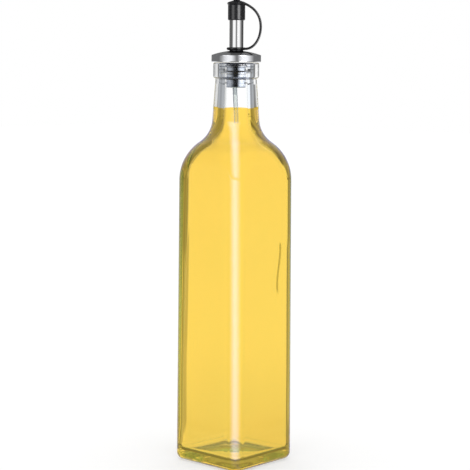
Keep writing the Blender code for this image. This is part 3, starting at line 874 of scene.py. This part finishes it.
def build_camera():
    """The photo's viewpoint."""
    data = bpy.data.cameras.new("camera")
    camera = bpy.data.objects.new("camera", data)
    bpy.context.scene.collection.objects.link(camera)
    data.sensor_width = SENSOR
    data.lens = FOCAL_PIXELS / PHOTO_SIZE * SENSOR
    data.clip_start = 0.05
    data.clip_end = 50.0
    camera.location = (CAMERA_DISTANCE * math.sin(VIEW_AZIMUTH),
                       -CAMERA_DISTANCE * math.cos(VIEW_AZIMUTH), CAMERA_HEIGHT)
    look = Vector((-math.sin(VIEW_AZIMUTH) * math.cos(CAMERA_PITCH),
                   math.cos(VIEW_AZIMUTH) * math.cos(CAMERA_PITCH),
                   -math.sin(CAMERA_PITCH)))
    camera.rotation_mode = "QUATERNION"
    aim = look.to_track_quat("-Z", "Y")
    camera.rotation_quaternion = Quaternion(look, CAMERA_ROLL) @ aim
    bpy.context.scene.camera = camera


# The studio's soft boxes and dark flags. Each area has one even brightness: first the one behind the
# bottle, then for each border its place, its softness and the brightness past it. Places are compass
# directions in degrees, from the photo's camera towards the picture's right.
COLLAR_BOXES = (0.2, ((-62, 50, 1.1), (-11, 24, 0.25), (18, 22, 1.2), (72, 36, 0.2)))
SPOUT_BOXES = (0.15, ((-62, 16, 1.2), (-12, 18, 0.2), (12, 16, 1.2), (63, 26, 0.3), (98, 40, 0.1)))
ROUND_BOXES = (0.9, ((-112, 35, 0.15), (-66, 12, 2.6), (-30, 12, 0.3), (18, 16, 9.0), (46, 14, 0.8),
                     (60, 14, 0.2), (112, 36, 0.9)))
GLOSS_BOXES = (0.9, ((-125, 60, 0.15), (125, 60, 0.9)))

# What straight rays meet behind the bottle
BEHIND_NECK = (1.0, ((-147, 30, 0.4), (0, 180, 1.0)))
BEHIND_BODY = (1.0, ((-169, 5, 0.6), (-102, 34, 1.0), (100, 30, 0.75), (145, 30, 1.0)))
BEHIND_FLARE = (0.95, ((-164, 12, 0.35), (-20, 160, 0.95)))
BEHIND_WALL = (0.2, ((-122, 16, 1.0), (106, 12, 0.75), (134, 8, 0.2)))
BEHIND_BEAD = (0.95, ((-144, 4, 0.15), (-136, 5, 0.95), (-115, 12, 0.35), (-94, 12, 0.95), (94, 12, 0.5),
                      (125, 20, 0.75), (138, 3, 0.15), (144, 4, 0.95)))

# What rays meet after a turn inside the glass
TURNED_NECK = (0.45, ((-166, 5, 0.35), (-134, 8, 0.45), (-42, 40, 0.0), (30, 34, 1.15), (83, 34, 0.7),
                      (104, 8, 1.05), (133, 11, 0.35), (166, 5, 0.45)))
TURNED_RING = (0.2, ((-117, 6, 0.05), (-101, 8, 0.4), (-42, 40, 0.0), (33, 40, 1.15), (93, 20, 0.05),
                     (140, 16, 0.2)))
TURNED_BODY = (0.4, ((-176, 3, 1.25), (-166, 4, 0.2), (-151, 5, 0.6), (-40, 50, 0.0), (28, 30, 1.25),
                     (72, 28, 0.6), (106, 12, 0.3), (140, 8, 0.65), (165, 6, 0.4)))

# The same by share of the glass's height, for light that the wall guides upward or downward; the glass's
# colour carries it as painted shade, darker at some heights
GUIDED = (0.5, ((0.05, 0.05, 0.8), (0.36, 0.24, 0.45), (0.70, 0.08, 0.15), (0.79, 0.04, 1.0)))
# And by the ray's height share, for light that the flare turns up
RISING = (0.5, ((0.62, 0.06, 0.2), (0.73, 0.08, 0.8), (0.94, 0.12, 1.0)))
BRIGHTEST = 9.0

# How many turns or crossings a ray has behind it, half-way between whole numbers
SECOND_MIRROR = (2.4, 2.6)
WALL_ONLY = (2.4, 2.6)
AIR_ONLY = (4.9, 5.1)
LOST = (8.4, 8.6)
ONCE = (0.25, 0.75)
MANY_BOUNCES = 7.5
MANY_BOUNCES_IN_NECK = 4.5

# Heights of a ray's direction, from -1 straight down to 1 straight up, as the start and end of a soft step
BODY_TO_SHOULDER = (0.085, 0.093)
NECK_HEIGHTS = ((0.093, 0.097), (0.133, 0.137))
NECK_TO_FLARE = (0.137, 0.25)
PLUG_HEIGHTS = ((-0.0125, -0.0105), (0.01, 0.02))
RING_HEIGHTS = ((-0.022, -0.018), (0.004, 0.010))
LEVEL_HEIGHTS = ((-0.05, -0.03), (0.045, 0.07))
BODY_HEIGHTS = ((-0.25, -0.235), (-0.125, -0.11))


def by_share(tree, share, areas, scale=1.0, start=0.0):
    """Brightness from areas with soft borders; the scale and start turn their places into shares."""
    brightness, borders = areas
    stops = [(0.0, brightness)]
    for place, softness, beyond in borders:
        stops.append((start + (place - softness / 2.0) * scale, brightness))
        stops.append((start + (place + softness / 2.0) * scale, beyond))
        brightness = beyond
    node = tree.nodes.new("ShaderNodeValToRGB")
    elements = node.color_ramp.elements
    elements.remove(elements[1])
    for i, (position, brightness) in enumerate(stops):
        element = elements[0] if i == 0 else elements.new(position)
        element.position = position
        element.color = (brightness / BRIGHTEST, brightness / BRIGHTEST, brightness / BRIGHTEST, 1.0)
    tree.links.new(share, node.inputs["Fac"])
    return maths(tree, "MULTIPLY", node.outputs["Color"], BRIGHTEST)


def by_compass(tree, share, areas):
    """Brightness from areas by compass direction."""
    return by_share(tree, share, areas, 1.0 / 360.0, 0.5)


def ray_directions(tree):
    """Where a ray leaves: its share of the compass, its height, and how far right and to the front."""
    place = tree.nodes.new("ShaderNodeTexCoord")
    split = tree.nodes.new("ShaderNodeSeparateXYZ")
    tree.links.new(place.outputs["Generated"], split.inputs["Vector"])
    x, y, z = (split.outputs[k] for k in "XYZ")
    towards_camera = math.atan2(-math.cos(VIEW_AZIMUTH), math.sin(VIEW_AZIMUTH))
    compass = maths(tree, "SUBTRACT", maths(tree, "ARCTAN2", y, x), towards_camera)
    share = maths(tree, "FRACT", maths(tree, "ADD", maths(tree, "DIVIDE", compass, 2.0 * math.pi), 0.5))
    across, depth = math.cos(VIEW_AZIMUTH), math.sin(VIEW_AZIMUTH)
    to_right = maths(tree, "ADD", maths(tree, "MULTIPLY", x, across), maths(tree, "MULTIPLY", y, depth))
    to_front = maths(tree, "SUBTRACT", maths(tree, "MULTIPLY", x, depth), maths(tree, "MULTIPLY", y, across))
    return share, z, to_right, to_front


def strip_light(tree, z, to_right, to_front):
    """The long narrow light down the bottle, set for the flat body, the shoulder and the round neck."""
    facing = maths(tree, "DIVIDE", to_right, maths(tree, "ADD", to_front, 1.001))
    elevation = maths(tree, "DEGREES", maths(tree, "ARCTAN2", z, to_front))
    widening = stepped(tree, elevation, -15.0, 100.0, 13.0, 33.3)
    aside = maths(tree, "SUBTRACT", 1.7, maths(tree, "MULTIPLY", elevation, 0.012))
    on_shoulder = maths(tree, "ADD", maths(tree, "MULTIPLY", facing, widening), aside)
    on_neck = maths(tree, "ADD", maths(tree, "MULTIPLY", facing, 22.6), 0.56)
    turn = maths(tree, "MULTIPLY", maths(tree, "MINIMUM", maths(tree, "ADD", z, 0.074), 0.0), 91.0)
    wrapped = maths(tree, "DEGREES", maths(tree, "ARCTAN2", to_right, to_front))
    on_body = maths(tree, "DIVIDE", maths(tree, "ADD", maths(tree, "ADD", wrapped, turn), 16.0), 8.75)
    above_body = stepped(tree, z, *BODY_TO_SHOULDER, 0.0, 1.0)
    off_centre = mixed(tree, between(tree, z, *NECK_HEIGHTS), on_shoulder, on_neck)
    off_centre = mixed(tree, above_body, on_body, off_centre)
    off_centre = maths(tree, "ABSOLUTE", maths(tree, "ADD", off_centre, 0.3))
    strip = maths(tree, "MULTIPLY", stepped(tree, off_centre, 0.0, 6.3, 9.3, 0.0),
                  stepped(tree, elevation, 115.0, 135.0, 1.0, 0.0))
    behind_tube = mixed(tree, above_body, 1.0, stepped(tree, z, *NECK_TO_FLARE, 0.25, 1.0))
    strip = maths(tree, "MULTIPLY", strip, behind_tube)
    return maths(tree, "MULTIPLY", strip, stepped(tree, z, -0.28, -0.255, 0.1, 1.0))


def light_on_metal(tree, path, share, z, to_right, to_front):
    """Soft boxes for the steel and the rubber, dim overhead and behind, with a dark cone behind the spout."""
    level = mixed(tree, stepped(tree, z, 0.005, 0.008, 0.0, 1.0), by_compass(tree, share, COLLAR_BOXES),
                  by_compass(tree, share, SPOUT_BOXES))
    light = mixed(tree, between(tree, z, *LEVEL_HEIGHTS), by_compass(tree, share, ROUND_BOXES), level)
    light = mixed(tree, between(tree, z, *NECK_HEIGHTS), light, 0.2)
    behind = maths(tree, "MULTIPLY", stepped(tree, to_front, -0.5, -0.2, 1.0, 0.0),
                   stepped(tree, z, 0.03, 0.06, 0.0, 1.0))
    half_width = maths(tree, "MULTIPLY", z, maths(tree, "SUBTRACT", 0.14, maths(tree, "MULTIPLY", z, 0.13)))
    beside = maths(tree, "DIVIDE", maths(tree, "ABSOLUTE", to_right), half_width)
    light = mixed(tree, behind, light, stepped(tree, beside, 0.8, 1.2, 0.06, 0.18))
    overhead = maths(tree, "MULTIPLY", stepped(tree, maths(tree, "ABSOLUTE", z), 0.25, 0.45, 0.0, 1.0),
                     stepped(tree, to_front, -0.5, -0.2, 0.0, 1.0))
    light = mixed(tree, overhead, light, 0.16)
    return mixed(tree, stepped(tree, path.outputs["Ray Depth"], *SECOND_MIRROR, 0.0, 1.0), light, 0.10)


def light_behind(tree, path, share, z):
    """White behind the bottle, with grey flags for the rays that go straight through."""
    light = mixed(tree, stepped(tree, z, -0.12, -0.10, 0.0, 1.0), by_compass(tree, share, BEHIND_BODY),
                  by_compass(tree, share, BEHIND_NECK))
    light = mixed(tree, stepped(tree, z, 0.14, 0.24, 0.0, 1.0), light, by_compass(tree, share, BEHIND_FLARE))
    crossed = path.outputs["Transmission Depth"]
    beside_plug = maths(tree, "MULTIPLY", between(tree, z, *PLUG_HEIGHTS),
                        stepped(tree, crossed, *AIR_ONLY, 1.0, 0.0))
    light = mixed(tree, beside_plug, light, 0.25)
    in_wall = mixed(tree, stepped(tree, z, -0.10, -0.07, 0.0, 1.0), by_compass(tree, share, BEHIND_WALL),
                    by_compass(tree, share, BEHIND_BEAD))
    beside_bore = maths(tree, "MULTIPLY", stepped(tree, crossed, *WALL_ONLY, 1.0, 0.0),
                        stepped(tree, z, -0.20, -0.19, 0.0, 1.0))
    light = mixed(tree, beside_bore, light, in_wall)
    light = mixed(tree, stepped(tree, z, -0.262, -0.25, 0.0, 1.0), 1.0, light)
    return maths(tree, "MULTIPLY", light, stepped(tree, z, -0.26, -0.17, 0.99, 1.15))


def light_turned(tree, path, share, z, to_right):
    """What rays meet after a turn inside the glass: the edges' greys, and the plug's mirrored boxes."""
    at_ring = maths(tree, "MULTIPLY", by_compass(tree, share, TURNED_RING),
                    stepped(tree, z, *PLUG_HEIGHTS[0], 0.9, 1.6))
    level = mixed(tree, between(tree, z, *RING_HEIGHTS), by_compass(tree, share, TURNED_NECK), at_ring)
    light = mixed(tree, stepped(tree, z, -0.40, -0.28, 0.0, 1.0), 0.25, 0.42)
    light = mixed(tree, stepped(tree, z, -0.16, -0.10, 0.0, 1.0), light, level)
    rising = by_share(tree, maths(tree, "MULTIPLY", maths(tree, "ADD", z, 1.0), 0.5), RISING)
    rising = mixed(tree, stepped(tree, share, 0.838, 0.852, 0.0, 1.0), 1.0, rising)
    rising = mixed(tree, stepped(tree, to_right, 0.2, 0.4, 0.0, 1.0), 0.33, rising)
    light = mixed(tree, stepped(tree, z, 0.13, 0.19, 0.0, 1.0), light, rising)
    beside_body = maths(tree, "MULTIPLY", between(tree, z, *BODY_HEIGHTS),
                        stepped(tree, path.outputs["Transmission Depth"], *WALL_ONLY, 0.0, 1.0))
    return mixed(tree, beside_body, light, by_compass(tree, share, TURNED_BODY))


def build_world():
    """White surroundings, with soft boxes for the gloss and grey flags for the turns inside the glass."""
    world = bpy.data.worlds.new("studio")
    bpy.context.scene.world = world
    world.use_nodes = True
    world.cycles.sampling_method = "NONE"
    tree = world.node_tree
    background = tree.nodes["Background"]
    path = tree.nodes.new("ShaderNodeLightPath")
    share, z, to_right, to_front = ray_directions(tree)

    on_glass = maths(tree, "ADD", strip_light(tree, z, to_right, to_front),
                     by_compass(tree, share, GLOSS_BOXES))
    on_metal = light_on_metal(tree, path, share, z, to_right, to_front)
    reflected = mixed(tree, path.outputs["Is Singular Ray"], on_metal, on_glass)
    lost = stepped(tree, path.outputs["Ray Depth"], *LOST, 0.0, 1.0)
    turned = mixed(tree, lost, light_turned(tree, path, share, z, to_right), 1.0)
    turned_back = stepped(tree, path.outputs["Glossy Depth"], *ONCE, 0.0, 1.0)
    seen_through = mixed(tree, turned_back, light_behind(tree, path, share, z), turned)
    level = mixed(tree, path.outputs["Is Glossy Ray"], 1.1, reflected)
    level = mixed(tree, path.outputs["Is Transmission Ray"], level, seen_through)
    level = mixed(tree, path.outputs["Is Camera Ray"], level, 1.0)
    tree.links.new(level, background.inputs["Strength"])

    in_glass = mixed_colours(tree, lost, (0.96, 1.0, 1.06), WHITE)
    in_glass = mixed_colours(tree, turned_back, WHITE, in_glass)
    colour = mixed_colours(tree, path.outputs["Is Singular Ray"], WHITE, (0.55, 0.55, 1.0))
    colour = mixed_colours(tree, path.outputs["Is Transmission Ray"], colour, in_glass)
    colour = mixed_colours(tree, path.outputs["Is Camera Ray"], colour, WHITE)
    tree.links.new(colour, background.inputs["Color"])


def build_floor():
    """A plain pale floor."""
    builder = bmesh.new()
    bmesh.ops.create_grid(builder, x_segments=1, y_segments=1, size=4.0)
    floor = add_mesh("floor", builder)
    floor.location = (0.0, 0.0, -0.2 * MM)
    material, tree, shader = principled("floor_paint")
    shader.inputs["Base Color"].default_value = (0.45, 0.45, 0.45, 1.0)
    shader.inputs["Roughness"].default_value = 0.9
    shader.inputs["Specular IOR Level"].default_value = 0.0
    shader.inputs["Emission Color"].default_value = (1.0, 1.0, 1.0, 1.0)
    shader.inputs["Emission Strength"].default_value = 0.55
    floor.data.materials.append(material)
    floor.visible_glossy = False
    floor.visible_transmission = False


def set_view():
    """Plain colours and enough bounces for glass within glass."""
    scene = bpy.context.scene
    scene.view_settings.view_transform = "Standard"
    scene.view_settings.look = "None"
    scene.cycles.use_denoising = True
    scene.cycles.max_bounces = 256
    scene.cycles.transmission_bounces = 256
    scene.cycles.glossy_bounces = 256
    scene.cycles.caustics_reflective = True
    scene.cycles.caustics_refractive = True


build_camera()
build_world()
build_floor()
build_bottle()
build_oil()
build_vent_tube()
build_stopper()
build_collar()
build_spout()
build_dust_cap()
set_view()
